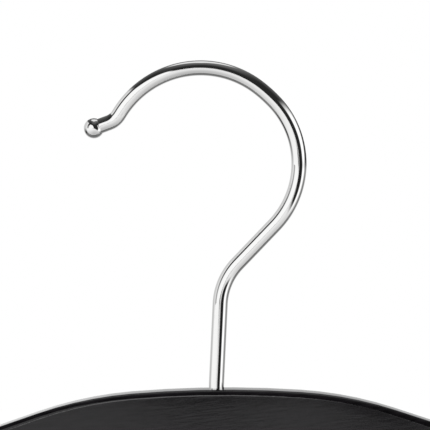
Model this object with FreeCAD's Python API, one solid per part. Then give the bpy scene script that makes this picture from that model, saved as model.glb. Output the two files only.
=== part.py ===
import FreeCAD, Part
import math
import os

# Wooden skirt hanger: a bow-shaped wooden body, a swivelling wire hook with a ball tip, and a
# bent steel bar that carries two sliding spring clips with soft jaw caps.
#
# Millimetres, +Z up, X along the hanger, +Y to the back. The origin is the rail seat: the point of
# the hook's inside that lies on the swivel axis. The swivel axis is the Z axis.

V = FreeCAD.Vector
X_AXIS = V(1, 0, 0)
Z_AXIS = V(0, 0, 1)

# Hook
hook_wire_d = 3.9
stem_lean = 3.2
lean_bend_radius = 30.0
stem_run = 20.2
neck_angle = 44.3
neck_bend_radius = 16.0
neck_run = 13.7
loop_side_radius = 23.0
loop_flat_radius = 37.0
loop_flat_start = 43.4
loop_flat_end = 51.1
loop_top_radius = 24.5
tip_angle = 148.7
tip_bend_radius = 5.0
tip_turn = 38.9
tip_run = 4.1
tip_ball_lip = 0.65
tip_ball_back = 1.4

# Swivel, in a recess under the wood
stem_clearance = 0.08
swivel_play = 0.1
washer_t = 0.8
washer_clearance = 0.25
collar_wall = 1.2
collar_length = 5.0
collar_chamfer = 0.6
recess_clearance = 0.9
recess_room = 3.8
plug_t = 4.0
plug_inset = 0.3
plug_chamfer = 0.4

# Wooden body
body_span = 360.0
body_thickness = 12.0
crown_radius = 296.0
crown_half = 21.8
shoulder_radius = 99.0
arm_slope = 18.6
centre_height = 34.0
end_height = 21.0
end_round = 8.5
edge_round = 1.3
round_limit = 0.95

# Clip bar
bar_d = 4.0
bar_inset = 30.0
bar_hang = 22.0
bar_bend_radius = 7.0
bar_seat_depth = 12.0

# Clip jaws
clip_inset = 45.0
clip_width = 26.0
sheet_t = 1.0
tab_rise = 17.5
tab_flare = 5.7
tab_taper = 4.5
tab_corner_radius = 5.0
ridge_radius = 0.5
ridge_count = 3
ridge_pitch = 2.4
ridge_inset = 3.0
knee_rise = 5.0
jaw_taper = 10.0
jaw_straight = 14.0
jaw_corner_radius = 3.0
plate_bend_radius = 7.0
ear_clearance = 0.08
ear_side_gap = 0.2

# Clip sleeve and spring
sleeve_wall = 0.5
sleeve_clearance = 0.08
flange_lip = 1.4
flange_t = 0.6
spring_wire_d = 1.2
spring_turns = 6
spring_pitch = 1.75
spring_clearance = 0.25
spring_leg_gap = 0.3
spring_leg_run = 8.5
spring_leg_bend_radius = 2.4

# Jaw caps
cap_face_t = 2.0
cap_back_t = 1.0
cap_side = 1.0
cap_end = 1.4
cap_height = 13.0
cap_gap = 0.3
cap_round = 0.8
groove_radius = 0.45
groove_count = 5
groove_pitch = 2.2

# Two lengths closer than this are taken as the same
same = 1e-6

# Hook: how far each stretch of wire goes along +X and up, from the wood to the loop's top
lean = math.radians(stem_lean)
neck = math.radians(neck_angle)
flat_start = math.radians(loop_flat_start)
flat_end = math.radians(loop_flat_end)
stem_reach = lean_bend_radius * (1 - math.cos(lean)) + stem_run * math.sin(lean)
stem_rise = lean_bend_radius * math.sin(lean) + stem_run * math.cos(lean)
neck_reach = neck_bend_radius * (math.cos(lean) - math.cos(neck)) + neck_run * math.sin(neck)
neck_rise = neck_bend_radius * (math.sin(neck) - math.sin(lean)) + neck_run * math.cos(neck)
side_reach = loop_side_radius * (math.cos(flat_start) - math.cos(neck))
side_rise = loop_side_radius * (math.sin(flat_start) + math.sin(neck))
flat_reach = loop_flat_radius * (math.cos(flat_end) - math.cos(flat_start))
flat_rise = loop_flat_radius * (math.sin(flat_end) - math.sin(flat_start))

# The top arc's centre stands to the tip's side of the swivel axis, below the rail seat
top_start_x = stem_reach + neck_reach + side_reach + flat_reach
loop_x = top_start_x - loop_top_radius * math.cos(flat_end)
loop_z = -math.sqrt((loop_top_radius - hook_wire_d / 2) ** 2 - loop_x ** 2)
top_start_z = loop_z + loop_top_radius * math.sin(flat_end)
tip_ball_d = hook_wire_d + 2 * tip_ball_lip

# Wood and swivel: levels from the crown down to the plug
crown_z = top_start_z - flat_rise - side_rise - neck_rise - stem_rise
arch_z = crown_z - centre_height
plug_z = arch_z + plug_inset
stem_end_z = plug_z + plug_t + recess_room
washer_z = stem_end_z + collar_length
shoulder_z = washer_z + washer_t + swivel_play
collar_d = hook_wire_d + 2 * collar_wall
recess_d = collar_d + 2 * recess_clearance

# Bar and clips: places along X, and distances from the bar's axis
bar_half = body_span / 2 - bar_inset
clip_x = bar_half - clip_inset
sleeve_radius = bar_d / 2 + sleeve_clearance + sleeve_wall
coil_radius = sleeve_radius + spring_clearance + spring_wire_d / 2
ear_radius = coil_radius + spring_wire_d / 2
plate_y = ear_radius + spring_leg_gap + sheet_t / 2
tab_y = plate_y + tab_flare
tab_width = clip_width - 2 * tab_taper
jaw_y = cap_gap / 2 + cap_face_t + sheet_t / 2
jaw_knee = knee_rise + jaw_taper
jaw_drop = jaw_knee + jaw_straight


def polar(centre_x, centre_z, radius, degrees):
    """A point of the XZ plane on a circle, by its angle from +X towards +Z."""
    angle = math.radians(degrees)
    return V(centre_x + radius * math.cos(angle), 0, centre_z + radius * math.sin(angle))


def line(a, b):
    return Part.LineSegment(a, b).toShape()


def arc(a, middle, b):
    return Part.Arc(a, middle, b).toShape()


class Bends:
    """A wire's middle line in the XZ plane, run by run and bend by bend, with its heading from +X."""

    def __init__(self, start, heading):
        self.edges = []
        self.end = start
        self.heading = heading

    def run(self, length):
        start = self.end
        self.end = polar(start.x, start.z, length, self.heading)
        self.edges.append(line(start, self.end))

    def bend(self, radius, turn):
        """An arc that turns from +X towards +Z for a positive turn."""
        start = self.end
        outward = self.heading - math.copysign(90, turn)
        centre = polar(start.x, start.z, -radius, outward)
        middle = polar(centre.x, centre.z, radius, outward + turn / 2)
        self.end = polar(centre.x, centre.z, radius, outward + turn)
        self.heading += turn
        self.edges.append(arc(start, middle, self.end))


def rounded_path(points, radius):
    """Edges along straight runs between the points, with a tangent arc at each inner point."""
    edges = []
    start = points[0]
    for before, corner, after in zip(points, points[1:], points[2:]):
        back = (before - corner).normalize()
        ahead = (after - corner).normalize()
        half_turn = (math.pi - back.getAngle(ahead)) / 2
        inward = (back + ahead).normalize()
        reach = radius * math.tan(half_turn)
        arc_start = corner + back * reach
        arc_end = corner + ahead * reach
        arc_middle = corner + inward * (radius / math.cos(half_turn) - radius)
        edges.append(line(start, arc_start))
        edges.append(arc(arc_start, arc_middle, arc_end))
        start = arc_end
    edges.append(line(start, points[-1]))
    return edges


def tube(edges, diameter, start, direction):
    """A round solid swept along edges that begin at start in that direction."""
    circle = Part.Wire(Part.Circle(start, direction, diameter / 2).toShape())
    return Part.Wire(edges).makePipeShell([circle], True, False)


def cylinder(diameter, length, base, axis):
    return Part.makeCylinder(diameter / 2, length, base, axis)


def rounded_polygon(points, radii):
    """A face inside straight sides, with each corner rounded by its own radius."""
    edges = []
    ends = []
    count = len(points)
    for index, corner in enumerate(points):
        back = (points[index - 1] - corner).normalize()
        ahead = (points[(index + 1) % count] - corner).normalize()
        half_turn = (math.pi - back.getAngle(ahead)) / 2
        inward = (back + ahead).normalize()
        reach = radii[index] * math.tan(half_turn)
        arc_middle = corner + inward * (radii[index] / math.cos(half_turn) - radii[index])
        ends.append((corner + back * reach, arc_middle, corner + ahead * reach))
    for index, (arc_start, arc_middle, arc_end) in enumerate(ends):
        edges.append(arc(arc_start, arc_middle, arc_end))
        edges.append(line(arc_end, ends[(index + 1) % count][0]))
    return Part.Face(Part.Wire(edges))


# Hook


def hook_bends():
    """Stem, slight lean, neck, a loop that is flatter over one stretch, and a tip turned outwards."""
    bends = Bends(V(0, 0, stem_end_z), 90)
    bends.run(crown_z - stem_end_z)
    bends.bend(lean_bend_radius, -stem_lean)
    bends.run(stem_run)
    bends.bend(neck_bend_radius, stem_lean - neck_angle)
    bends.run(neck_run)
    bends.bend(loop_side_radius, neck_angle + loop_flat_start)
    bends.bend(loop_flat_radius, loop_flat_end - loop_flat_start)
    bends.bend(loop_top_radius, tip_angle - loop_flat_end)
    bends.bend(tip_bend_radius, -tip_turn)
    bends.run(tip_run)
    return bends


def hook_wire():
    """One bent wire, from the swivel's collar to the ball's centre."""
    return tube(hook_bends().edges, hook_wire_d, V(0, 0, stem_end_z), Z_AXIS)


def hook_tip_ball(wire):
    """A ball pressed on the wire's end, flat towards the wire, in a blind hole that stops at its centre."""
    bends = hook_bends()
    axis = polar(0, 0, 1, bends.heading)
    kept = cylinder(2 * tip_ball_d, 2 * tip_ball_d, bends.end - axis * tip_ball_back, axis)
    ball = Part.makeSphere(tip_ball_d / 2, bends.end)
    return ball.common(kept).cut(wire)


def hook_washer():
    outer_d = recess_d - 2 * washer_clearance
    base = V(0, 0, washer_z)
    ring = cylinder(outer_d, washer_t, base, Z_AXIS)
    hole = cylinder(hook_wire_d, washer_t, base, Z_AXIS)
    return ring.cut(hole)


def hook_collar(wire):
    """The collar swaged on the stem's end, which the wood's shoulder hangs on through the washer."""
    collar = cylinder(collar_d, collar_length, V(0, 0, stem_end_z), Z_AXIS)
    bottom_edges = [edge for edge in collar.Edges if abs(edge.BoundBox.ZMax - stem_end_z) < same]
    collar = collar.makeChamfer(collar_chamfer, bottom_edges)
    return collar.cut(wire)


# Wooden body


def top_points():
    """End of the crown arc, middle and end of the shoulder arc, and the tip of the arm's top edge."""
    crown_end_angle = math.degrees(math.asin(crown_half / crown_radius))
    crown_end = polar(0, crown_z - crown_radius, crown_radius, 90 - crown_end_angle)
    shoulder_centre = polar(0, crown_z - crown_radius, crown_radius - shoulder_radius, 90 - crown_end_angle)
    middle_angle = 90 - (crown_end_angle + arm_slope) / 2
    shoulder_middle = polar(shoulder_centre.x, shoulder_centre.z, shoulder_radius, middle_angle)
    shoulder_end = polar(shoulder_centre.x, shoulder_centre.z, shoulder_radius, 90 - arm_slope)
    run = body_span / 2 - shoulder_end.x
    arm_tip = shoulder_end + V(run, 0, -run * math.tan(math.radians(arm_slope)))
    return crown_end, shoulder_middle, shoulder_end, arm_tip


def underside_arc():
    """Radius and centre height of the arch under the body."""
    sagitta = arch_z - (top_points()[3].z - end_height)
    radius = ((body_span / 2) ** 2 + sagitta ** 2) / (2 * sagitta)
    return radius, arch_z - radius


def underside_z(x):
    radius, centre_z = underside_arc()
    return centre_z + math.sqrt(radius ** 2 - x ** 2)


def largest_end_round():
    """The radius at which the two rounded corners of an arm's end would meet."""
    arch_slope = math.degrees(math.asin(body_span / 2 / underside_arc()[0]))
    corner_angles = [math.radians(90 + arm_slope), math.radians(90 - arch_slope)]
    return end_height / sum(1 / math.tan(angle / 2) for angle in corner_angles)


def mirrored(point):
    return V(-point.x, point.y, point.z)


def body_outline():
    crown_end, shoulder_middle, shoulder_end, arm_tip = top_points()
    arm_foot = arm_tip - V(0, 0, end_height)
    edges = [
        arc(mirrored(crown_end), V(0, 0, crown_z), crown_end),
        arc(crown_end, shoulder_middle, shoulder_end),
        line(shoulder_end, arm_tip),
        line(arm_tip, arm_foot),
        arc(arm_foot, V(0, 0, arch_z), mirrored(arm_foot)),
        line(mirrored(arm_foot), mirrored(arm_tip)),
        line(mirrored(arm_tip), mirrored(shoulder_end)),
        arc(mirrored(shoulder_end), mirrored(shoulder_middle), mirrored(crown_end)),
    ]
    return Part.Face(Part.Wire(edges))


def bar_levels():
    """Heights of the bar's axis and of its upturned ends inside the wood."""
    entry_z = underside_z(bar_half)
    return entry_z - bar_hang, entry_z + bar_seat_depth


def wood_body():
    """The bow, rounded at its ends and edges, with the stem hole, its recess and the bar's holes."""
    outline = body_outline()
    outline.translate(V(0, -body_thickness / 2, 0))
    bow = outline.extrude(V(0, body_thickness, 0))
    end_edges = [
        edge
        for edge in bow.Edges
        if edge.BoundBox.YLength > body_thickness / 2 and abs(edge.CenterOfMass.x) > body_span / 2 - same
    ]
    bow = bow.makeFillet(min(end_round, round_limit * largest_end_round()), end_edges)
    face_edges = [edge for edge in bow.Edges if edge.BoundBox.YLength < same]
    bow = bow.makeFillet(min(edge_round, round_limit * body_thickness / 2), face_edges)
    stem_hole = cylinder(hook_wire_d + 2 * stem_clearance, centre_height, V(0, 0, shoulder_z), Z_AXIS)
    recess = cylinder(recess_d, centre_height, V(0, 0, shoulder_z - centre_height), Z_AXIS)
    bar_z, bar_top = bar_levels()
    bar_holes = [
        cylinder(bar_d, bar_top - bar_z, V(side * bar_half, 0, bar_z), Z_AXIS) for side in (-1, 1)
    ]
    return bow.cut([stem_hole, recess] + bar_holes)


def recess_plug():
    """The round plug that closes the recess under the hook's collar."""
    plug = cylinder(recess_d, plug_t, V(0, 0, plug_z), Z_AXIS)
    bottom_edges = [edge for edge in plug.Edges if abs(edge.BoundBox.ZMax - plug_z) < same]
    return plug.makeChamfer(plug_chamfer, bottom_edges)


def clip_bar():
    """One rod, bent up at both ends into the arms."""
    bar_z, bar_top = bar_levels()
    points = [
        V(-bar_half, 0, bar_top),
        V(-bar_half, 0, bar_z),
        V(bar_half, 0, bar_z),
        V(bar_half, 0, bar_top),
    ]
    return tube(rounded_path(points, bar_bend_radius), bar_d, points[0], -Z_AXIS)


# Clips: each piece is made for the front half of a clip centred on the bar, with the bar's axis at
# y = 0, z = 0. The back half is the same piece turned half a turn about Z.


def plate_points():
    """The middle line of a jaw plate, from the tab's tip to the jaw's tip."""
    return [
        V(0, -tab_y, tab_rise),
        V(0, -plate_y, knee_rise),
        V(0, -plate_y, -knee_rise),
        V(0, -jaw_y, -jaw_knee),
        V(0, -jaw_y, -jaw_drop),
    ]


def tab_frame():
    """The knee under the tab, the direction up the tab, and the normal out of its outer face."""
    tip, knee = plate_points()[:2]
    upward = (tip - knee).normalize()
    return knee, upward, X_AXIS.cross(upward)


def plate_blank():
    """The bent strip that a jaw is stamped from, before it is trimmed."""
    points = plate_points()
    start = points[0]
    normal = tab_frame()[2]
    half_width = X_AXIS * (clip_width / 2)
    half_sheet = normal * (sheet_t / 2)
    corners = [
        start - half_width - half_sheet,
        start + half_width - half_sheet,
        start + half_width + half_sheet,
        start - half_width + half_sheet,
    ]
    section = Part.makePolygon(corners + corners[:1])
    path = Part.Wire(rounded_path(points, plate_bend_radius))
    return path.makePipeShell([section], True, False)


def plate_outline():
    """The jaw's trimmed outline seen from the front, as a solid to intersect the strip with."""
    tab_top = tab_rise + sheet_t
    jaw_bottom = -jaw_drop - sheet_t
    points = [
        V(-clip_width / 2, 0, jaw_bottom),
        V(clip_width / 2, 0, jaw_bottom),
        V(clip_width / 2, 0, knee_rise),
        V(tab_width / 2, 0, tab_top),
        V(-tab_width / 2, 0, tab_top),
        V(-clip_width / 2, 0, knee_rise),
    ]
    radii = [jaw_corner_radius] * 2 + [tab_corner_radius] * 4
    face = rounded_polygon(points, radii)
    depth = tab_y + sheet_t
    face.translate(V(0, -depth, 0))
    return face.extrude(V(0, 2 * depth, 0))


def ear(x):
    """A side lug with its inner face at x, from the plate to round the pivot."""
    lug = Part.makeBox(sheet_t, plate_y, 2 * ear_radius, V(x, -plate_y, -ear_radius))
    return lug.fuse(cylinder(2 * ear_radius, sheet_t, V(x, 0, 0), X_AXIS))


def tab_ridges():
    """Pressed ridges across the tab that stop the fingers slipping."""
    knee, upward, outward = tab_frame()
    tab_length = (plate_points()[0] - knee).Length
    ridge_length = tab_width - 2 * tab_corner_radius
    ridges = []
    for index in range(ridge_count):
        along = tab_length - ridge_inset - index * ridge_pitch
        centre = knee + upward * along + outward * (sheet_t / 2)
        ridge = cylinder(2 * ridge_radius, ridge_length, centre - X_AXIS * (ridge_length / 2), X_AXIS)
        ends = [
            Part.makeSphere(ridge_radius, centre + X_AXIS * (side * ridge_length / 2)) for side in (-1, 1)
        ]
        ridges.append(ridge.fuse(ends))
    inner_half = Part.makeBox(clip_width, 2 * tab_rise, 2 * tab_rise, V(-clip_width / 2, 0, -tab_rise))
    tilt = math.degrees(math.atan2(-upward.y, upward.z))
    inner_half.rotate(V(0, 0, 0), X_AXIS, tilt)
    inner_half.translate(knee)
    return [ridge.cut(inner_half) for ridge in ridges]


def clip_jaw():
    """One stamping: tab, plate, jaw and two ears, one at the edge and one set in by its neighbour."""
    edge_x = clip_width / 2
    inset_x = edge_x - sheet_t - ear_side_gap
    notch_height = 2 * ear_radius + 2 * sheet_t
    notch_origin = V(inset_x, -2 * plate_y, -notch_height / 2)
    notch = Part.makeBox(clip_width, 4 * plate_y, notch_height, notch_origin)
    plate = plate_blank().common(plate_outline()).cut(notch)
    hole_d = 2 * (sleeve_radius + ear_clearance)
    hole = cylinder(hole_d, 2 * clip_width, V(-clip_width, 0, 0), X_AXIS)
    ears = [ear(-edge_x), ear(inset_x - sheet_t)]
    return plate.fuse(ears + tab_ridges()).cut(hole).removeSplitter()


def jaw_cap(jaw):
    """A soft cap drawn over the jaw's tip, ribbed on the face that grips the cloth."""
    face_y = -cap_gap / 2
    depth = cap_face_t + sheet_t + cap_back_t
    width = clip_width + 2 * cap_side
    bottom = -jaw_drop - cap_end
    cap = Part.makeBox(width, depth, cap_height, V(-width / 2, face_y - depth, bottom))
    cap = cap.makeFillet(cap_round, cap.Edges)
    first_groove = bottom + (cap_height - (groove_count - 1) * groove_pitch) / 2
    levels = [first_groove + index * groove_pitch for index in range(groove_count)]
    grooves = [cylinder(2 * groove_radius, 2 * width, V(-width, face_y, level), X_AXIS) for level in levels]
    return cap.cut(grooves).cut(jaw)


def clip_sleeve():
    """The hollow rivet that both jaws pivot on and that slides on the bar."""
    half = clip_width / 2 + ear_side_gap + flange_t
    body = cylinder(2 * sleeve_radius, 2 * half, V(-half, 0, 0), X_AXIS)
    flange_d = 2 * (sleeve_radius + flange_lip)
    flanges = [cylinder(flange_d, flange_t, V(x, 0, 0), X_AXIS) for x in (-half, half - flange_t)]
    bore = cylinder(bar_d + 2 * sleeve_clearance, 2 * half, V(-half, 0, 0), X_AXIS)
    return body.fuse(flanges).cut(bore).removeSplitter()


def coil_point(turn, side_x):
    """A point of the coil and its direction, after that many turns from the back leg."""
    angle = 2 * math.pi * turn
    point = V(side_x + spring_pitch * turn, coil_radius * math.cos(angle), -coil_radius * math.sin(angle))
    rate = 2 * math.pi * coil_radius
    direction = V(spring_pitch, -rate * math.sin(angle), -rate * math.cos(angle))
    return point, direction.normalize()


def biarc(start, start_direction, end, end_direction):
    """Two tangent arcs that join two points with their directions."""
    chord = end - start
    sum_direction = start_direction + end_direction
    a = 2 * (1 - start_direction.dot(end_direction))
    b = 2 * chord.dot(sum_direction)
    c = -chord.dot(chord)
    reach = (-b + math.sqrt(b * b - 4 * a * c)) / (2 * a)
    first_corner = start + start_direction * reach
    second_corner = end - end_direction * reach
    joint = (first_corner + second_corner) * 0.5
    return [arc_by_corner(start, first_corner, joint), arc_by_corner(joint, second_corner, end)]


def arc_by_corner(start, corner, end):
    """The arc that is tangent at both ends to the two lines from a corner."""
    half_turn = (math.pi - (start - corner).getAngle(end - corner)) / 2
    middle = (start + end) * 0.5
    height = (end - start).Length / 2 * math.tan(half_turn / 2)
    return arc(start, middle + (corner - middle).normalize() * height, end)


def spring_leg():
    """The front leg's points, from its tip along the tab down to the coil."""
    knee, upward, outward = tab_frame()
    offset = sheet_t / 2 + spring_leg_gap + spring_wire_d / 2
    foot = knee - outward * offset
    bend = foot + upward * ((-coil_radius - foot.y) / upward.y)
    tip = foot + upward * spring_leg_run
    return tip, bend, V(0, -coil_radius, 0)


def spring_edges():
    """The spring's middle line: back leg, coil of biarcs by the quarter turn, front leg."""
    turns = spring_turns + 0.5
    first_x = -spring_pitch * turns / 2
    quarters = int(turns * 4)
    front_tip, front_bend, coil_end = spring_leg()
    back = [V(first_x, -point.y, point.z) for point in (front_tip, front_bend, coil_end)]
    front = [V(-first_x, point.y, point.z) for point in (coil_end, front_bend, front_tip)]
    edges = rounded_path(back, spring_leg_bend_radius)
    stations = [coil_point(quarter / 4, first_x) for quarter in range(quarters + 1)]
    stations[0] = (stations[0][0], -Z_AXIS)
    stations[-1] = (stations[-1][0], Z_AXIS)
    for (start, start_direction), (end, end_direction) in zip(stations, stations[1:]):
        edges += biarc(start, start_direction, end, end_direction)
    return edges + rounded_path(front, spring_leg_bend_radius)


def clip_spring():
    """The torsion spring round the sleeve, with a leg behind each tab."""
    edges = spring_edges()
    start = edges[0].Vertexes[0].Point
    direction = edges[0].Vertexes[1].Point - start
    return tube(edges, spring_wire_d, start, direction)


def spring_least_gap():
    """The least space between stretches of the spring's wire that lie a wire's girth or more apart."""
    steps_per_girth = 40
    girth = math.pi * spring_wire_d
    points = Part.Wire(spring_edges()).discretize(Distance=girth / steps_per_girth)
    distances = [
        (a - b).Length for index, a in enumerate(points) for b in points[index + steps_per_girth :]
    ]
    return min(distances) - spring_wire_d


def placed(shape, x, half_turn=False):
    """A copy of a clip's piece on the bar at x, turned to the back half if asked."""
    copy = shape.copy()
    if half_turn:
        copy.rotate(V(0, 0, 0), Z_AXIS, 180)
    copy.translate(V(x, 0, bar_levels()[0]))
    return copy


def clip_nodes():
    jaw = clip_jaw()
    cap = jaw_cap(jaw)
    sleeve = clip_sleeve()
    spring = clip_spring()
    nodes = {}
    for side, x in (("left", -clip_x), ("right", clip_x)):
        nodes[f"{side}_clip_sleeve"] = placed(sleeve, x)
        nodes[f"{side}_clip_spring"] = placed(spring, x)
        nodes[f"{side}_front_jaw"] = placed(jaw, x)
        nodes[f"{side}_rear_jaw"] = placed(jaw, x, half_turn=True)
        nodes[f"{side}_front_cap"] = placed(cap, x)
        nodes[f"{side}_rear_cap"] = placed(cap, x, half_turn=True)
    return nodes


def main():
    wire = hook_wire()
    nodes = {
        "hook_wire": wire,
        "hook_tip_ball": hook_tip_ball(wire),
        "hook_washer": hook_washer(),
        "hook_collar": hook_collar(wire),
        "wood_body": wood_body(),
        "recess_plug": recess_plug(),
        "clip_bar": clip_bar(),
    }
    nodes.update(clip_nodes())
    os.makedirs("parts", exist_ok=True)
    for name, shape in nodes.items():
        shape.exportStep(f"parts/{name}.step")
        print(f"{name}: {len(shape.Solids)} solid, valid {shape.isValid()}, {shape.Volume:.1f} mm3")
    ball = hook_bends().end
    print(f"loop's top arc: centre x {loop_x:.2f}, z {loop_z:.2f}; ball: x {ball.x:.2f}, z {ball.z:.2f}")
    print(f"wood crown at z {crown_z:.2f}, clip bar at z {bar_levels()[0]:.2f}, clips at x {clip_x:.1f}")
    print(f"spring wire clears itself by {spring_least_gap():.2f} mm")


main()
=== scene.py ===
import math

import bmesh
import bpy
from mathutils import Matrix, Vector


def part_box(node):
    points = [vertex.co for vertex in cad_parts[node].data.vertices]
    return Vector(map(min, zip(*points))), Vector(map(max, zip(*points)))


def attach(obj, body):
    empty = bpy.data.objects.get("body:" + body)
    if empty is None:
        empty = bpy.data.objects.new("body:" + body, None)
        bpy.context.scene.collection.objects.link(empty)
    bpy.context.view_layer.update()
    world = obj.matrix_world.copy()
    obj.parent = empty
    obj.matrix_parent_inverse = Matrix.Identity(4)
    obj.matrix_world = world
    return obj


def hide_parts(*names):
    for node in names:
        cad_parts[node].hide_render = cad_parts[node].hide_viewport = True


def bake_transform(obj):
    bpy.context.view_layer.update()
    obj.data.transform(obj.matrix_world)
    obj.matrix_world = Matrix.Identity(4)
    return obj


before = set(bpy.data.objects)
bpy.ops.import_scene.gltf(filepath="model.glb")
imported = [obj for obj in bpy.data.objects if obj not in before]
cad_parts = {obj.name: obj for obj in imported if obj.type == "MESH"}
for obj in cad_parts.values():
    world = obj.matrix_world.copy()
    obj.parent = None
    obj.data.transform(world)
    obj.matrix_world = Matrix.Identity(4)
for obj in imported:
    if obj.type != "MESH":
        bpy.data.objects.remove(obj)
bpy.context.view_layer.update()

# Hook, in metres, with the sizes of the solids
HOOK_WIRE_D = 0.0039
STEM_LEAN = math.radians(3.2)
LEAN_BEND_RADIUS = 0.030
STEM_RUN = 0.0202
NECK_ANGLE = math.radians(44.3)
NECK_BEND_RADIUS = 0.016
NECK_RUN = 0.0137
LOOP_SIDE_RADIUS = 0.023
LOOP_FLAT_RADIUS = 0.037
LOOP_FLAT_START = math.radians(43.4)
LOOP_FLAT_END = math.radians(51.1)
LOOP_TOP_RADIUS = 0.0245
TIP_ANGLE = math.radians(148.7)
TIP_BEND_RADIUS = 0.005
TIP_TURN = math.radians(38.9)
TIP_RUN = 0.0041
BALL_D = 0.0052
BALL_BACK = 0.0014
BALL_EDGE_ROUND = 0.00018

# Wood: how its sanded faces swell inwards from the rounded edges, as (width, slope, material slot) of each
# ring. The first ring is a bead where the lacquer gathers and shines more.
LACQUER_SLOT = 0
BEAD_SLOT = 1
FACE_SWELL = (
    (0.0002, math.radians(0.8), BEAD_SLOT),
    (0.0004, math.radians(1.0), LACQUER_SLOT),
    (0.0022, 0.0, LACQUER_SLOT),
)
FACE_FLATNESS = 1e-6
MERGE_GAP = 1e-7

# Clip bar
BAR_D = 0.004
BAR_BEND_RADIUS = 0.007

# Clips: distances from the bar's axis, as in the solids
CLIP_X = 0.105
SHEET_T = 0.001
TAB_Y = 0.01053
TAB_RISE = 0.0175
PLATE_Y = 0.00483
KNEE_RISE = 0.005
SPRING_WIRE_D = 0.0012
SPRING_TURNS = 6.5
SPRING_PITCH = 0.00175
COIL_RADIUS = 0.00343
SPRING_LEG_GAP = 0.0003
SPRING_LEG_RUN = 0.0085
SPRING_LEG_BEND_RADIUS = 0.0024

# Jaw caps
CAP_EDGE_ROUND = 0.0009
CAP_END_ROUND = 0.0011
CAP_GROOVE_DEPTH = 0.00045
CAP_GROOVE_HALF = 0.0006
CAP_GROOVE_COUNT = 5
CAP_GROOVE_PITCH = 0.0022
CAP_BEAD_HEIGHT = 0.0018
CAP_BEAD_RISE = 0.0003

# Meshes: sides of round forms, steps of arcs and outlines, and the length of a step along a wire
HOOK_SIDES = 96
BALL_SIDES = 64
BAR_SIDES = 40
SPRING_SIDES = 16
BALL_STEPS = 32
BALL_EDGE_STEPS = 3
CORNER_STEPS = 8
COIL_STEPS_PER_TURN = 48
CAP_FACE_STEPS = 120
CAP_BACK_STEPS = 60
WIRE_STEP = 0.0005
SMOOTH_ANGLE = math.radians(35)

# Materials: noise in cells per metre, and relief as a strength over a depth in metres
NOISE_ROUGHNESS = 0.55
NOISE_SPAN = (0.3, 0.7)
POLISH_CELLS = 900
POLISH_DETAIL = 3

ZINC_CELLS = 1500
ZINC_DETAIL = 5
ZINC_SPAN = (0.0, 1.0)
ZINC_DARK = (0.42, 0.43, 0.45, 1)
ZINC_PALE = (0.66, 0.67, 0.68, 1)
ZINC_ROUGHNESS = (0.28, 0.45)

WOOD_ROUGHNESS = 0.5
COAT_ROUGHNESS = 0.06
LACQUER_IOR = 1.47
BEAD_IOR = 2.1
FIBRE_CELLS = (160, 500, 1500)
FIBRE_DETAIL = 6
FIBRE_ROUGHNESS = 0.6
FIBRE_LEAN = math.radians(6)
FIGURE_CELLS = (14, 60, 160)
FIGURE_DETAIL = 3
FIGURE_SHARE = 0.3
GRAIN_SPAN = (0.36, 0.64)
GRAIN_DARK = (0.0018, 0.0015, 0.002, 1)
GRAIN_PALE = (0.012, 0.0105, 0.0125, 1)
FIBRE_DEPTH = 0.0002
FIBRE_RELIEF = 0.35
COAT_RELIEF = 0.04

MOULD_DEPTH = 0.0001

# Stage
FLOOR_HALF = 3.0
FLOOR_Z = -0.3
FLOOR_GLOW = 0.86
FLOOR_SHADE = 0.3
AMBIENT = 0.55
BACKDROP = 1.0

KEY_PLACE = Vector((-0.5, -0.8, 0.5))
KEY_TARGET = Vector((0, 0, -0.08))
KEY_SIZE = 0.5
KEY_WATTS = 6

# Studio in the metal: where its parts lie and how bright they are, with white paper as 1. Tilts and turns are
# in degrees, sides and rises are parts of a direction. A pair is where a soft change starts and ends, or the
# levels there. Four numbers are where a patch starts, is full, fades and ends.
LOW_WALL_RISE = (-1.0, -0.1)
LOW_WALL_LEVELS = (0.5, 0.86)
LEFT_GLOW_SIDE = (-0.6, 0.1)
LEFT_GLOW_LEVELS = (0.1, 0.0)
HIGH_WALL_RISE = (-0.06, 0.04)
HIGH_WALL_LEVEL = 1.0
FAR_WALL_SIDE = (-0.3, 0.3)
FAR_WALL_LEVELS = (0.62, 0.35)
FAR_FLOOR_RISE = (-0.3, 0.1)
FAR_FLOOR_TILT = (125, 150)
FAR_FLOOR_LEVELS = (0.16, 0.6)
FAR_TILT = (78, 110)

RAIL_TURN = (124, 132)
RAIL_TILT = (55, 65, 80, 90)
RAIL_LEVEL_TURN = (138, 178)
RAIL_LEVELS = (0.01, 0.4)
SPOT_TURN = (-167, -157, -149, -139)
SPOT_TILT = (90, 106, 116, 132)
SPOT_LEVEL = 0.03

CEILING_LEFT_TURN = (131, 136)
CEILING_SHIFT_TILT = (22, 62)
CEILING_SHIFT = (23.5, 0.0)
CEILING_RIGHT_TURN = (27, 43)
CEILING_NEAR_SLOPE = 6.0
CEILING_NEAR_ACROSS = (-0.36, -0.22)
CEILING_NEAR_TURN = (-52, -38)
CEILING_NEAR_TILT = (45, 57)
CEILING_GLOW_TURN = (52, 80, 92, 120)
CEILING_GLOW_TILT = (30, 75)
CEILING_GLOW_LEVELS = (0.0, 0.12)
CEILING_TILT = (60, 175)
CEILING_LEVELS = (0.02, 0.15)

DOORWAY_TURN = (-36, -26, -3, 3)
DOORWAY_TILT = (7, 15, 46, 58)
DOORWAY_LEVEL = 0.015

SIDE_PANEL_TURN = (-37, -25, 24, 42)
SIDE_PANEL_TILT = (51, 63)
SIDE_PANEL_SLOPE = 0.6
SIDE_PANEL_OUTER = (82, 98)
SIDE_PANEL_LEVEL = 1.15
SEAM_TURN = (-5, -2, -1, 2)
SEAM_SHADE = 0.75
RIM_TURN = (-5, 3, 39, 47)
RIM_SLOPE = 1.2
RIM_START = (86, 98)
RIM_LEVEL = 0.04

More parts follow.
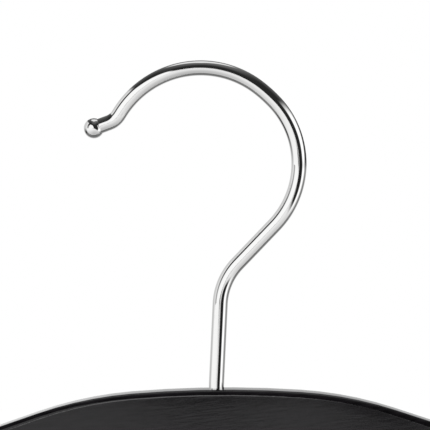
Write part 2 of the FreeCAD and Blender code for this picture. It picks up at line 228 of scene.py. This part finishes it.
TOP_PANEL_TURN = 90.0
TOP_PANEL_REACH_TILT = (73, 104)
TOP_PANEL_REACH = (-4.0, 18.0)
TOP_PANEL_EDGE = (-4, 4)
TOP_PANEL_LEVEL_TILT = (115, 130)
TOP_PANEL_LEVELS = (0.82, 0.15)

BACK_WALL_TILT = (164, 171)
BACK_WALL_SIDE = (-0.08, 0.0)
BACK_WALL_LEVELS = (0.85, 0.58)

PHOTOGRAPHER_TURN = (-183, -167, -154, -138)
PHOTOGRAPHER_TILT = (13, 19)
PHOTOGRAPHER_RISE = (-0.065, -0.053, -0.028, -0.016)
PHOTOGRAPHER_LEVEL = 0.08
LOW_GAP_SIDE = (-0.034, -0.022, 0.022, 0.034)
LOW_GAP_RISE = (-0.081, -0.073, -0.070, -0.062)
LOW_GAP_LEVEL = 0.12
CENTRE_SHADE_SIDE = (-0.020, -0.010, 0.003, 0.013)
CENTRE_SHADE_RISE = (-0.097, -0.087, -0.071, -0.061)
RIGHT_SHADE_SIDE = (0.028, 0.042, 0.051, 0.065)
RIGHT_SHADE_RISE = (-0.105, -0.093, -0.046, -0.034)
SHADE_LEVEL = 0.03

# Camera: the picture's size and scale, and where the wood's crown lies in it on the swivel axis
IMAGE_PX = 430
PX_PER_M = 3880
CROWN_PX_X = 216.4
CROWN_PX_Y = 388.5
CAMERA_ELEVATION = math.radians(1.2)
CAMERA_AZIMUTH = 0.0
CAMERA_ROLL = math.radians(0.54)
CAMERA_DISTANCE = 1.0
SENSOR_MM = 36

Z_AXIS = Vector((0, 0, 1))

bar_low, bar_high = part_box("clip_bar")
bar_z = bar_low[2] + BAR_D / 2
bar_half = bar_high[0] - BAR_D / 2

# The photographer's side of the studio, and the right and up of a picture taken from there
view_level = Vector((math.sin(CAMERA_AZIMUTH), -math.cos(CAMERA_AZIMUTH), 0))
view_back = view_level * math.cos(CAMERA_ELEVATION) + Z_AXIS * math.sin(CAMERA_ELEVATION)
level_right = Vector((math.cos(CAMERA_AZIMUTH), math.sin(CAMERA_AZIMUTH), 0))
level_up = view_back.cross(level_right)
view_right = level_right * math.cos(CAMERA_ROLL) - level_up * math.sin(CAMERA_ROLL)
view_up = view_back.cross(view_right)


# Node trees


class Graph:
    """Short calls for building a node tree."""

    def __init__(self, tree):
        self.tree = tree

    def node(self, kind, inputs=None, **settings):
        made = self.tree.nodes.new("ShaderNode" + kind)
        for name, value in settings.items():
            setattr(made, name, value)
        for name, value in (inputs or {}).items():
            self.feed(made.inputs[name], value)
        return made

    def feed(self, socket, value):
        if isinstance(value, bpy.types.NodeSocket):
            self.tree.links.new(value, socket)
        else:
            socket.default_value = value

    def math(self, operation, a, b=0.0):
        return self.node("Math", {0: a, 1: b}, operation=operation).outputs[0]

    def product(self, *factors):
        result = factors[0]
        for factor in factors[1:]:
            result = self.math("MULTIPLY", result, factor)
        return result

    def dot(self, vector, axis):
        return self.node("VectorMath", {0: vector, 1: axis}, operation="DOT_PRODUCT").outputs["Value"]

    def step(self, value, low, high, start=0.0, end=1.0):
        """A smooth change from start to end as the value goes from low to high."""
        inputs = {"Value": value, "From Min": low, "From Max": high, "To Min": start, "To Max": end}
        return self.node("MapRange", inputs, interpolation_type="SMOOTHSTEP").outputs["Result"]

    def fade(self, value, low, high):
        """A smooth change from one to nought as the value goes from low to high."""
        return self.step(value, low, high, 1.0, 0.0)

    def patch(self, value, start, full, fading, end):
        """One from full to fading, and nought before start and after end."""
        return self.math("MULTIPLY", self.step(value, start, full), self.fade(value, fading, end))

    def blend(self, factor, a, b):
        """Two numbers mixed by a factor."""
        return self.node("Mix", {"Factor": factor, "A": a, "B": b}, data_type="FLOAT").outputs["Result"]

    def noise(self, cells, detail, roughness=NOISE_ROUGHNESS, lean=0.0):
        """Noise in the object's own metres, with a number of cells per metre along each axis.

        The lean turns it about Y.
        """
        place = self.node("TexCoord").outputs["Object"]
        turn = self.node("VectorRotate", {"Vector": place, "Angle": lean}, rotation_type="Y_AXIS")
        turned = turn.outputs["Vector"]
        scaled = self.node("VectorMath", {0: turned, 1: cells}, operation="MULTIPLY").outputs["Vector"]
        inputs = {"Vector": scaled, "Scale": 1.0, "Detail": detail, "Roughness": roughness}
        return self.node("TexNoise", inputs).outputs["Fac"]

    def ramp(self, value, span, dark, pale):
        """A colour that goes from dark to pale as the value goes through the span."""
        made = self.node("ValToRGB", {"Fac": value})
        for element, position, colour in zip(made.color_ramp.elements, span, (dark, pale)):
            element.position = position
            element.color = colour
        return made.outputs["Color"]

    def bump(self, height, strength, distance):
        inputs = {"Height": height, "Strength": strength, "Distance": distance}
        return self.node("Bump", inputs).outputs["Normal"]


# Materials


def new_material(name, **inputs):
    material = bpy.data.materials.new(name)
    material.use_nodes = True
    shader = material.node_tree.nodes["Principled BSDF"]
    for key, value in inputs.items():
        shader.inputs[key.replace("_", " ")].default_value = value
    return material, Graph(material.node_tree), shader


def chrome(name, tint, roughness):
    """Bright plate with faint uneven polish."""
    material, graph, shader = new_material(name, Base_Color=tint, Metallic=1.0)
    polish = graph.noise((POLISH_CELLS, POLISH_CELLS, POLISH_CELLS), POLISH_DETAIL)
    graph.feed(shader.inputs["Roughness"], graph.step(polish, *NOISE_SPAN, *roughness))
    return material


def zinc():
    """Dull plate with a faint mottle."""
    material, graph, shader = new_material("zinc_plate", Metallic=1.0)
    mottle = graph.noise((ZINC_CELLS, ZINC_CELLS, ZINC_CELLS), ZINC_DETAIL)
    graph.feed(shader.inputs["Base Color"], graph.ramp(mottle, ZINC_SPAN, ZINC_DARK, ZINC_PALE))
    graph.feed(shader.inputs["Roughness"], graph.step(mottle, *NOISE_SPAN, *ZINC_ROUGHNESS))
    return material


def lacquer(name, coat_ior):
    """Black satin lacquer with the wood's fibres faintly showing along the hanger."""
    material, graph, shader = new_material(
        name,
        Roughness=WOOD_ROUGHNESS,
        Specular_IOR_Level=0.0,
        Coat_Weight=1.0,
        Coat_Roughness=COAT_ROUGHNESS,
        Coat_IOR=coat_ior,
    )
    fibres = graph.noise(FIBRE_CELLS, FIBRE_DETAIL, FIBRE_ROUGHNESS, FIBRE_LEAN)
    figure = graph.noise(FIGURE_CELLS, FIGURE_DETAIL)
    grain = graph.blend(FIGURE_SHARE, fibres, figure)
    graph.feed(shader.inputs["Base Color"], graph.ramp(grain, GRAIN_SPAN, GRAIN_DARK, GRAIN_PALE))
    graph.feed(shader.inputs["Normal"], graph.bump(fibres, FIBRE_RELIEF, FIBRE_DEPTH))
    graph.feed(shader.inputs["Coat Normal"], graph.bump(fibres, COAT_RELIEF, FIBRE_DEPTH))
    return material


def moulded(name, colour, cells, detail, roughness, relief):
    """Black rubber or plastic with a fine grain from its mould."""
    material, graph, shader = new_material(name, Base_Color=colour)
    grain = graph.noise((cells, cells, cells), detail)
    graph.feed(shader.inputs["Roughness"], graph.step(grain, *NOISE_SPAN, *roughness))
    graph.feed(shader.inputs["Normal"], graph.bump(grain, relief, MOULD_DEPTH))
    return material


HOOK_CHROME = chrome("hook_chrome", tint=(0.95, 0.95, 0.945, 1), roughness=(0.02, 0.05))
BAR_CHROME = chrome("bar_chrome", tint=(0.9, 0.9, 0.9, 1), roughness=(0.04, 0.09))
CLIP_CHROME = chrome("clip_chrome", tint=(0.86, 0.86, 0.86, 1), roughness=(0.08, 0.16))
SPRING_STEEL = chrome("spring_steel", tint=(0.5, 0.5, 0.51, 1), roughness=(0.2, 0.35))
ZINC = zinc()
LACQUER = lacquer("black_lacquer", LACQUER_IOR)
LACQUER_BEAD = lacquer("lacquer_bead", BEAD_IOR)
RUBBER = moulded(
    "soft_rubber",
    colour=(0.018, 0.018, 0.019, 1),
    cells=4000,
    detail=2,
    roughness=(0.55, 0.75),
    relief=0.3,
)
PLUG_PLASTIC = moulded(
    "plug_plastic",
    colour=(0.03, 0.03, 0.03, 1),
    cells=2500,
    detail=5,
    roughness=(0.42, 0.6),
    relief=0.25,
)


# Mesh forms


class Route:
    """A wire's middle line in the XZ plane, drawn run by run and bend by bend."""

    def __init__(self, x, z, heading):
        self.points = [Vector((x, 0, z))]
        self.heading = heading

    def run(self, length):
        count = max(1, round(length / WIRE_STEP))
        start = self.points[-1]
        ahead = Vector((math.cos(self.heading), 0, math.sin(self.heading)))
        self.points += [start + ahead * (length * index / count) for index in range(1, count + 1)]

    def bend(self, radius, turn):
        """An arc that turns from +X towards +Z for a positive turn."""
        count = max(2, round(radius * abs(turn) / WIRE_STEP))
        side = math.copysign(1, turn)
        outward = self.heading - side * math.pi / 2
        centre = self.points[-1] - Vector((math.cos(outward), 0, math.sin(outward))) * radius
        for index in range(1, count + 1):
            angle = outward + turn * index / count
            self.points.append(centre + Vector((math.cos(angle), 0, math.sin(angle))) * radius)
        self.heading += turn


def evenly(start, end, steps):
    """Numbers at even steps from start to end, with both of these."""
    return [start + (end - start) * index / steps for index in range(steps + 1)]


def corner_arc(before, corner, after, radius):
    """Points of the arc that rounds a corner between two straight runs."""
    back = (before - corner).normalized()
    ahead = (after - corner).normalized()
    half_turn = (math.pi - back.angle(ahead)) / 2
    inward = (back + ahead).normalized()
    centre = corner + inward * (radius / math.cos(half_turn))
    across = (ahead - back).normalized()
    points = []
    for angle in evenly(-half_turn, half_turn, CORNER_STEPS):
        points.append(centre + (across * math.sin(angle) - inward * math.cos(angle)) * radius)
    return points


def finished(name, form, material):
    """An object made from a form, with smooth faces and sharp corners."""
    bmesh.ops.recalc_face_normals(form, faces=form.faces)
    mesh = bpy.data.meshes.new(name)
    form.to_mesh(mesh)
    form.free()
    mesh.shade_smooth()
    mesh.set_sharp_from_angle(angle=SMOOTH_ANGLE)
    mesh.materials.append(material)
    piece = bpy.data.objects.new(name, mesh)
    bpy.context.collection.objects.link(piece)
    return piece


def bridged(form, rings):
    """Faces between rings of vertices, one after another, and over both ends."""
    for low, high in zip(rings, rings[1:]):
        count = len(low)
        for index in range(count):
            after = (index + 1) % count
            form.faces.new((low[index], low[after], high[after], high[index]))
    form.faces.new(reversed(rings[0]))
    form.faces.new(rings[-1])


def circle(form, centre, across, other, radius, sides):
    """A ring of vertices round a centre, in the plane of two directions."""
    ring = []
    for side in range(sides):
        angle = 2 * math.pi * side / sides
        offset = across * math.cos(angle) + other * math.sin(angle)
        ring.append(form.verts.new(centre + offset * radius))
    return ring


def tube(name, points, diameter, material, sides):
    """A round wire along the points, with its section carried along without twist."""
    form = bmesh.new()
    across = (points[1] - points[0]).orthogonal().normalized()
    rings = []
    for index, point in enumerate(points):
        before = points[max(index - 1, 0)]
        after = points[min(index + 1, len(points) - 1)]
        ahead = (after - before).normalized()
        across = (across - ahead * across.dot(ahead)).normalized()
        rings.append(circle(form, point, across, ahead.cross(across), diameter / 2, sides))
    bridged(form, rings)
    return finished(name, form, material)


def lathe(name, profile, origin, axis, material, sides):
    """A form turned round an axis from (along, radius) pairs."""
    form = bmesh.new()
    across = axis.orthogonal().normalized()
    other = axis.cross(across)
    rings = [circle(form, origin + axis * along, across, other, radius, sides) for along, radius in profile]
    bridged(form, rings)
    return finished(name, form, material)


# Hook


def hook_route():
    crown_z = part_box("wood_body")[1][2]
    stem_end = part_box("hook_wire")[0][2]
    route = Route(0, stem_end, math.pi / 2)
    route.run(crown_z - stem_end)
    route.bend(LEAN_BEND_RADIUS, -STEM_LEAN)
    route.run(STEM_RUN)
    route.bend(NECK_BEND_RADIUS, STEM_LEAN - NECK_ANGLE)
    route.run(NECK_RUN)
    route.bend(LOOP_SIDE_RADIUS, NECK_ANGLE + LOOP_FLAT_START)
    route.bend(LOOP_FLAT_RADIUS, LOOP_FLAT_END - LOOP_FLAT_START)
    route.bend(LOOP_TOP_RADIUS, TIP_ANGLE - LOOP_FLAT_END)
    route.bend(TIP_BEND_RADIUS, -TIP_TURN)
    route.run(TIP_RUN)
    return route


def ball_profile():
    """A ball cut flat at the wire's side, with the cut's edge rounded and its face inside the wire."""
    radius = BALL_D / 2
    cut = math.acos(-BALL_BACK / radius)
    profile = []
    for angle in evenly(0, cut, BALL_STEPS)[1:]:
        profile.append((radius * math.cos(angle), radius * math.sin(angle)))
    rim = profile[-1][1]
    for angle in evenly(0, math.pi / 2, BALL_EDGE_STEPS)[1:]:
        along = -BALL_BACK - BALL_EDGE_ROUND * math.sin(angle)
        profile.append((along, rim - BALL_EDGE_ROUND * (1 - math.cos(angle))))
    profile.append((-BALL_BACK - BALL_EDGE_ROUND, HOOK_WIRE_D / 2 - BALL_EDGE_ROUND))
    return profile


def hook():
    route = hook_route()
    wire = tube("hook_tube", route.points, HOOK_WIRE_D, HOOK_CHROME, HOOK_SIDES)
    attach(wire, "hook")
    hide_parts("hook_wire")
    axis = Vector((math.cos(route.heading), 0, math.sin(route.heading)))
    ball = lathe("tip_ball", ball_profile(), route.points[-1], axis, HOOK_CHROME, BALL_SIDES)
    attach(ball, "hook")
    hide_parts("hook_tip_ball")


# Wood


def lies_at(face, level):
    """Whether a face lies flat at a place along Y."""
    return all(abs(vert.co.y - level) < FACE_FLATNESS for vert in face.verts)


def wood():
    """The bow, with front and back faces that swell a hair's breadth from their edges."""
    form = bmesh.new()
    form.from_mesh(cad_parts["wood_body"].data)
    bmesh.ops.remove_doubles(form, verts=form.verts, dist=MERGE_GAP)
    low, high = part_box("wood_body")
    for level in (low[1], high[1]):
        faces = [face for face in form.faces if lies_at(face, level)]
        for width, slope, material_slot in FACE_SWELL:
            ring = bmesh.ops.inset_region(
                form,
                faces=faces,
                thickness=width,
                depth=width * math.tan(slope),
                use_even_offset=True,
            )
            for face in ring["faces"]:
                face.material_index = material_slot
    bow = finished("lacquered_bow", form, LACQUER)
    bow.data.materials.append(LACQUER_BEAD)
    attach(bow, "hanger_body")
    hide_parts("wood_body")


# Clip bar


def clip_bar():
    top = bar_high[2]
    route = Route(-bar_half, top, -math.pi / 2)
    drop = top - bar_z - BAR_BEND_RADIUS
    route.run(drop)
    route.bend(BAR_BEND_RADIUS, math.pi / 2)
    route.run(2 * (bar_half - BAR_BEND_RADIUS))
    route.bend(BAR_BEND_RADIUS, math.pi / 2)
    route.run(drop)
    bar = tube("bent_bar", route.points, BAR_D, BAR_CHROME, BAR_SIDES)
    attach(bar, "hanger_body")
    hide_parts("clip_bar")


# Clips


def spring_leg():
    """A leg's middle line in the YZ plane, from its tip on the rear tab down to the coil."""
    up_tab = Vector((0, TAB_Y - PLATE_Y, TAB_RISE - KNEE_RISE)).normalized()
    into_clip = Vector((0, -up_tab.z, up_tab.y))
    foot = Vector((0, PLATE_Y, KNEE_RISE))
    foot += into_clip * (SHEET_T / 2 + SPRING_LEG_GAP + SPRING_WIRE_D / 2)
    tip = foot + up_tab * SPRING_LEG_RUN
    bend = foot + up_tab * ((COIL_RADIUS - foot.y) / up_tab.y)
    return [tip] + corner_arc(tip, bend, Vector((0, COIL_RADIUS, 0)), SPRING_LEG_BEND_RADIUS)


def spring_points():
    """The spring's middle line about the bar's axis: back leg, coil, front leg."""
    first_x = -SPRING_PITCH * SPRING_TURNS / 2
    leg = spring_leg()
    back = [Vector((first_x, point.y, point.z)) for point in leg]
    coil = []
    for turn in evenly(0, SPRING_TURNS, round(SPRING_TURNS * COIL_STEPS_PER_TURN)):
        angle = 2 * math.pi * turn
        x = first_x + SPRING_PITCH * turn
        coil.append(Vector((x, COIL_RADIUS * math.cos(angle), -COIL_RADIUS * math.sin(angle))))
    front = [Vector((-first_x, -point.y, point.z)) for point in reversed(leg)]
    return back + coil + front


def clip_spring(side, x):
    pivot = Vector((x, 0, bar_z))
    points = [pivot + point for point in spring_points()]
    spring = tube(f"{side}_torsion_spring", points, SPRING_WIRE_D, SPRING_STEEL, SPRING_SIDES)
    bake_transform(spring)
    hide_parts(f"{side}_clip_spring")


def groove_depth(level, low, high):
    """How deep the gripping face is cut at a height, by evenly spaced smooth grooves."""
    middle = (low + high) / 2
    nearest = round((level - middle) / CAP_GROOVE_PITCH)
    if abs(nearest) > CAP_GROOVE_COUNT // 2:
        return 0.0
    gap = (level - middle - nearest * CAP_GROOVE_PITCH) / CAP_GROOVE_HALF
    if abs(gap) >= 1:
        return 0.0
    return CAP_GROOVE_DEPTH * math.cos(gap * math.pi / 2) ** 2


def bead_rise(level, high):
    """How far the back stands out at a height, by the bead round the cap's mouth."""
    gap = (high - CAP_EDGE_ROUND - level) / CAP_BEAD_HEIGHT
    if not 0 < gap < 1:
        return 0.0
    return CAP_BEAD_RISE * math.sin(gap * math.pi) ** 2


def cap_corner(across, level, start):
    """The points inside a quarter turn of a cap's outline, clockwise from an angle."""
    points = []
    for angle in evenly(start, start - math.pi / 2, CORNER_STEPS)[1:-1]:
        points.append((across + CAP_EDGE_ROUND * math.cos(angle), level + CAP_EDGE_ROUND * math.sin(angle)))
    return points


def cap_outline(depth, low, high):
    """(distance from the gripping face, height) pairs round a cap seen from its end."""
    bottom = low + CAP_EDGE_ROUND
    top = high - CAP_EDGE_ROUND
    near = CAP_EDGE_ROUND
    far = depth - CAP_EDGE_ROUND
    face = [(groove_depth(level, low, high), level) for level in evenly(bottom, top, CAP_FACE_STEPS)]
    back = [(depth + bead_rise(level, high), level) for level in evenly(top, bottom, CAP_BACK_STEPS)]
    over_top = cap_corner(near, top, math.pi) + cap_corner(far, top, math.pi / 2)
    under_bottom = cap_corner(far, bottom, 0) + cap_corner(near, bottom, -math.pi / 2)
    return face + over_top + back + under_bottom


def cap_stations(low, high):
    """(x, shrink) pairs along a cap's length, with the ends rounded in."""
    start = []
    for angle in evenly(0, math.pi / 2, CORNER_STEPS):
        inset = CAP_END_ROUND * (1 - math.cos(angle))
        start.append((low + inset, CAP_END_ROUND * (1 - math.sin(angle))))
    end = [(low + high - x, shrink) for x, shrink in reversed(start)]
    return start + end


def jaw_cap(side, place, sign):
    """A ribbed rubber cap over a jaw's tip. The sign is the side of the clip along Y."""
    low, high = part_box(f"{side}_{place}_cap")
    face = high[1] if sign < 0 else low[1]
    depth = high[1] - low[1]
    outline = cap_outline(depth, low[2], high[2])
    middle_depth = depth / 2
    middle_level = (low[2] + high[2]) / 2
    half_height = (high[2] - low[2]) / 2
    form = bmesh.new()
    rings = []
    for x, shrink in cap_stations(low[0], high[0]):
        ring = []
        for distance, level in outline:
            across = middle_depth + (distance - middle_depth) * (1 - shrink / middle_depth)
            height = middle_level + (level - middle_level) * (1 - shrink / half_height)
            ring.append(form.verts.new((x, face + sign * across, height)))
        rings.append(ring)
    bridged(form, rings)
    cap = finished(f"{side}_{place}_grip", form, RUBBER)
    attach(cap, f"{side}_{place}_jaw")
    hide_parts(f"{side}_{place}_cap")


# Materials of the solids that stay


def solid_material(name):
    if name == "recess_plug":
        return PLUG_PLASTIC
    if name.endswith("_jaw"):
        return CLIP_CHROME
    return ZINC


def dress_solids():
    for name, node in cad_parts.items():
        node.data.materials.clear()
        node.data.materials.append(solid_material(name))


# Studio in the metal


class Sky:
    """A direction in the studio.

    Side and rise are its parts along the picture's right and up. Tilt is its angle from the
    photographer's side, and turn is its angle round that side from the picture's right.
    """

    def __init__(self, graph):
        direction = graph.node("TexCoord").outputs["Generated"]
        self.side = graph.dot(direction, view_right)
        self.rise = graph.dot(direction, view_up)
        self.tilt = graph.math("DEGREES", graph.math("ARCCOSINE", graph.dot(direction, view_back)))
        self.turn = graph.math("DEGREES", graph.math("ARCTAN2", self.rise, self.side))


def walls(graph, sky):
    """White walls above darker low ones, and duller walls and floor behind the hanger."""
    low_wall = graph.step(sky.rise, *LOW_WALL_RISE, *LOW_WALL_LEVELS)
    left_glow = graph.step(sky.side, *LEFT_GLOW_SIDE, *LEFT_GLOW_LEVELS)
    above = graph.step(sky.rise, *HIGH_WALL_RISE)
    near = graph.blend(above, graph.math("ADD", low_wall, left_glow), HIGH_WALL_LEVEL)
    far_wall = graph.step(sky.side, *FAR_WALL_SIDE, *FAR_WALL_LEVELS)
    far_floor = graph.step(sky.tilt, *FAR_FLOOR_TILT, *FAR_FLOOR_LEVELS)
    far = graph.blend(graph.fade(sky.rise, *FAR_FLOOR_RISE), far_wall, far_floor)
    return graph.blend(graph.step(sky.tilt, *FAR_TILT), near, far)


def rail(graph, sky, light):
    """A dark rail on the left, paler towards its lower end."""
    place = graph.product(graph.step(sky.turn, *RAIL_TURN), graph.patch(sky.tilt, *RAIL_TILT))
    return graph.blend(place, light, graph.step(sky.turn, *RAIL_LEVEL_TURN, *RAIL_LEVELS))


def spot(graph, sky, light):
    """A dark spot low on the left."""
    place = graph.product(graph.patch(sky.turn, *SPOT_TURN), graph.patch(sky.tilt, *SPOT_TILT))
    return graph.blend(place, light, SPOT_LEVEL)


def ceiling(graph, sky, light):
    """A dark ceiling with a faint glow, which comes lower on the right near the photographer."""
    shift = graph.step(sky.tilt, *CEILING_SHIFT_TILT, *CEILING_SHIFT)
    left = graph.fade(graph.math("ADD", sky.turn, shift), *CEILING_LEFT_TURN)
    across = graph.math("ADD", sky.side, graph.math("MULTIPLY", sky.rise, CEILING_NEAR_SLOPE))
    near = graph.product(
        graph.step(across, *CEILING_NEAR_ACROSS),
        graph.step(sky.turn, *CEILING_NEAR_TURN),
        graph.fade(sky.tilt, *CEILING_NEAR_TILT),
    )
    right = graph.math("MAXIMUM", near, graph.step(sky.turn, *CEILING_RIGHT_TURN))
    glow = graph.product(
        graph.patch(sky.turn, *CEILING_GLOW_TURN),
        graph.step(sky.tilt, *CEILING_GLOW_TILT, *CEILING_GLOW_LEVELS),
    )
    level = graph.math("ADD", glow, graph.step(sky.tilt, *CEILING_TILT, *CEILING_LEVELS))
    return graph.blend(graph.product(left, right), light, level)


def doorway(graph, sky, light):
    """A dark doorway on the right, near the photographer."""
    place = graph.product(graph.patch(sky.turn, *DOORWAY_TURN), graph.patch(sky.tilt, *DOORWAY_TILT))
    return graph.blend(place, light, DOORWAY_LEVEL)


def side_panel(graph, sky, light):
    """A white panel on the right, with a slanted outer edge and a dark seam."""
    slant = graph.math("SUBTRACT", sky.tilt, graph.math("MULTIPLY", sky.turn, SIDE_PANEL_SLOPE))
    seam = graph.math("MULTIPLY", graph.patch(sky.turn, *SEAM_TURN), SEAM_SHADE)
    place = graph.product(
        graph.patch(sky.turn, *SIDE_PANEL_TURN),
        graph.step(sky.tilt, *SIDE_PANEL_TILT),
        graph.fade(slant, *SIDE_PANEL_OUTER),
        graph.math("SUBTRACT", 1.0, seam),
    )
    return graph.blend(place, light, SIDE_PANEL_LEVEL)


def panel_rim(graph, sky, light):
    """The dark beyond the side panel's outer edge."""
    slant = graph.math("SUBTRACT", sky.tilt, graph.math("MULTIPLY", sky.turn, RIM_SLOPE))
    place = graph.product(graph.patch(sky.turn, *RIM_TURN), graph.step(slant, *RIM_START))
    return graph.blend(place, light, RIM_LEVEL)


def top_panel(graph, sky, light):
    """A pale panel overhead that widens away from the photographer, and darkens there."""
    off_middle = graph.math("ABSOLUTE", graph.math("SUBTRACT", sky.turn, TOP_PANEL_TURN))
    reach = graph.step(sky.tilt, *TOP_PANEL_REACH_TILT, *TOP_PANEL_REACH)
    place = graph.fade(graph.math("SUBTRACT", off_middle, reach), *TOP_PANEL_EDGE)
    level = graph.step(sky.tilt, *TOP_PANEL_LEVEL_TILT, *TOP_PANEL_LEVELS)
    return graph.blend(place, light, level)


def back_wall(graph, sky, light):
    """The wall straight behind the hanger, brighter on the left."""
    level = graph.step(sky.side, *BACK_WALL_SIDE, *BACK_WALL_LEVELS)
    return graph.blend(graph.step(sky.tilt, *BACK_WALL_TILT), light, level)


def photographer(graph, sky, light):
    """The dark shape of the photographer, left of the lens and a little below it."""
    place = graph.product(
        graph.patch(sky.turn, *PHOTOGRAPHER_TURN),
        graph.fade(sky.tilt, *PHOTOGRAPHER_TILT),
        graph.patch(sky.rise, *PHOTOGRAPHER_RISE),
    )
    return graph.blend(place, light, PHOTOGRAPHER_LEVEL)


def low_gap(graph, sky, light):
    """A dark gap under the lens."""
    place = graph.product(graph.patch(sky.side, *LOW_GAP_SIDE), graph.patch(sky.rise, *LOW_GAP_RISE))
    return graph.blend(place, light, LOW_GAP_LEVEL)


def low_shades(graph, sky, light):
    """Two dark shades below the lens, one in the middle and one on the right."""
    centre = graph.product(
        graph.patch(sky.side, *CENTRE_SHADE_SIDE),
        graph.patch(sky.rise, *CENTRE_SHADE_RISE),
    )
    right = graph.product(
        graph.patch(sky.side, *RIGHT_SHADE_SIDE),
        graph.patch(sky.rise, *RIGHT_SHADE_RISE),
    )
    return graph.blend(graph.math("MAXIMUM", centre, right), light, SHADE_LEVEL)


STUDIO_PARTS = (
    rail,
    spot,
    ceiling,
    doorway,
    side_panel,
    panel_rim,
    top_panel,
    back_wall,
    photographer,
    low_gap,
    low_shades,
)


def studio_light(graph):
    """The level of light from each direction, with each part of the studio laid over those before it."""
    sky = Sky(graph)
    light = walls(graph, sky)
    for part in STUDIO_PARTS:
        light = part(graph, sky, light)
    return light


# Stage


def seen_rays(graph, rays):
    """One for rays that come from the camera, straight or through clear things."""
    return graph.math("MAXIMUM", rays["Is Camera Ray"], rays["Is Transmission Ray"])


def floor():
    """A pale floor that polished things don't show, clear from below."""
    form = bmesh.new()
    bmesh.ops.create_grid(form, x_segments=1, y_segments=1, size=FLOOR_HALF)
    bmesh.ops.translate(form, verts=form.verts, vec=(0, 0, FLOOR_Z))
    material = bpy.data.materials.new("pale_floor")
    material.use_nodes = True
    material.node_tree.nodes.clear()
    graph = Graph(material.node_tree)
    rays = graph.node("LightPath").outputs
    glow = graph.node("Emission", {"Strength": graph.math("MULTIPLY", seen_rays(graph, rays), FLOOR_GLOW)})
    matt = graph.node("BsdfDiffuse", {"Color": (FLOOR_SHADE, FLOOR_SHADE, FLOOR_SHADE, 1)})
    lit = graph.node("AddShader", {0: glow.outputs[0], 1: matt.outputs[0]})
    below = graph.node("NewGeometry").outputs["Backfacing"]
    hidden = graph.math("MAXIMUM", below, rays["Is Glossy Ray"])
    clear = graph.node("BsdfTransparent")
    surface = graph.node("MixShader", {0: hidden, 1: lit.outputs[0], 2: clear.outputs[0]})
    graph.node("OutputMaterial", {"Surface": surface.outputs[0]})
    finished("floor", form, material)


def studio_world():
    """The studio in polished things, an even light on the others, and a white backdrop for the camera."""
    world = bpy.data.worlds.new("studio")
    bpy.context.scene.world = world
    world.use_nodes = True
    world.node_tree.nodes.clear()
    graph = Graph(world.node_tree)
    rays = graph.node("LightPath").outputs
    level = graph.blend(rays["Is Glossy Ray"], AMBIENT, studio_light(graph))
    level = graph.blend(seen_rays(graph, rays), level, BACKDROP)
    background = graph.node("Background", {"Color": level, "Strength": 1.0})
    graph.node("OutputWorld", {"Surface": background.outputs[0]})


def key_lamp():
    """A soft lamp at the upper left, which polished things don't show."""
    data = bpy.data.lights.new("key", "AREA")
    data.shape = "SQUARE"
    data.size = KEY_SIZE
    data.energy = KEY_WATTS
    lamp = bpy.data.objects.new("key", data)
    bpy.context.collection.objects.link(lamp)
    lamp.location = KEY_PLACE
    lamp.rotation_euler = (KEY_TARGET - KEY_PLACE).to_track_quat("-Z", "Y").to_euler()
    lamp.visible_glossy = False


def camera():
    crown = Vector((0, 0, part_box("wood_body")[1][2]))
    to_centre = view_right * (IMAGE_PX / 2 - CROWN_PX_X) - view_up * (IMAGE_PX / 2 - CROWN_PX_Y)
    data = bpy.data.cameras.new("camera")
    data.sensor_width = SENSOR_MM
    data.lens = SENSOR_MM * CAMERA_DISTANCE * PX_PER_M / IMAGE_PX
    piece = bpy.data.objects.new("camera", data)
    bpy.context.collection.objects.link(piece)
    piece.location = crown + to_centre / PX_PER_M + view_back * CAMERA_DISTANCE
    piece.rotation_euler = Matrix((view_right, view_up, view_back)).transposed().to_euler()
    bpy.context.scene.camera = piece


dress_solids()
hook()
wood()
clip_bar()
for side, x in (("left", -CLIP_X), ("right", CLIP_X)):
    clip_spring(side, x)
    for place, sign in (("front", -1), ("rear", 1)):
        jaw_cap(side, place, sign)
floor()
studio_world()
key_lamp()
camera()
bpy.context.scene.view_settings.view_transform = "Standard"
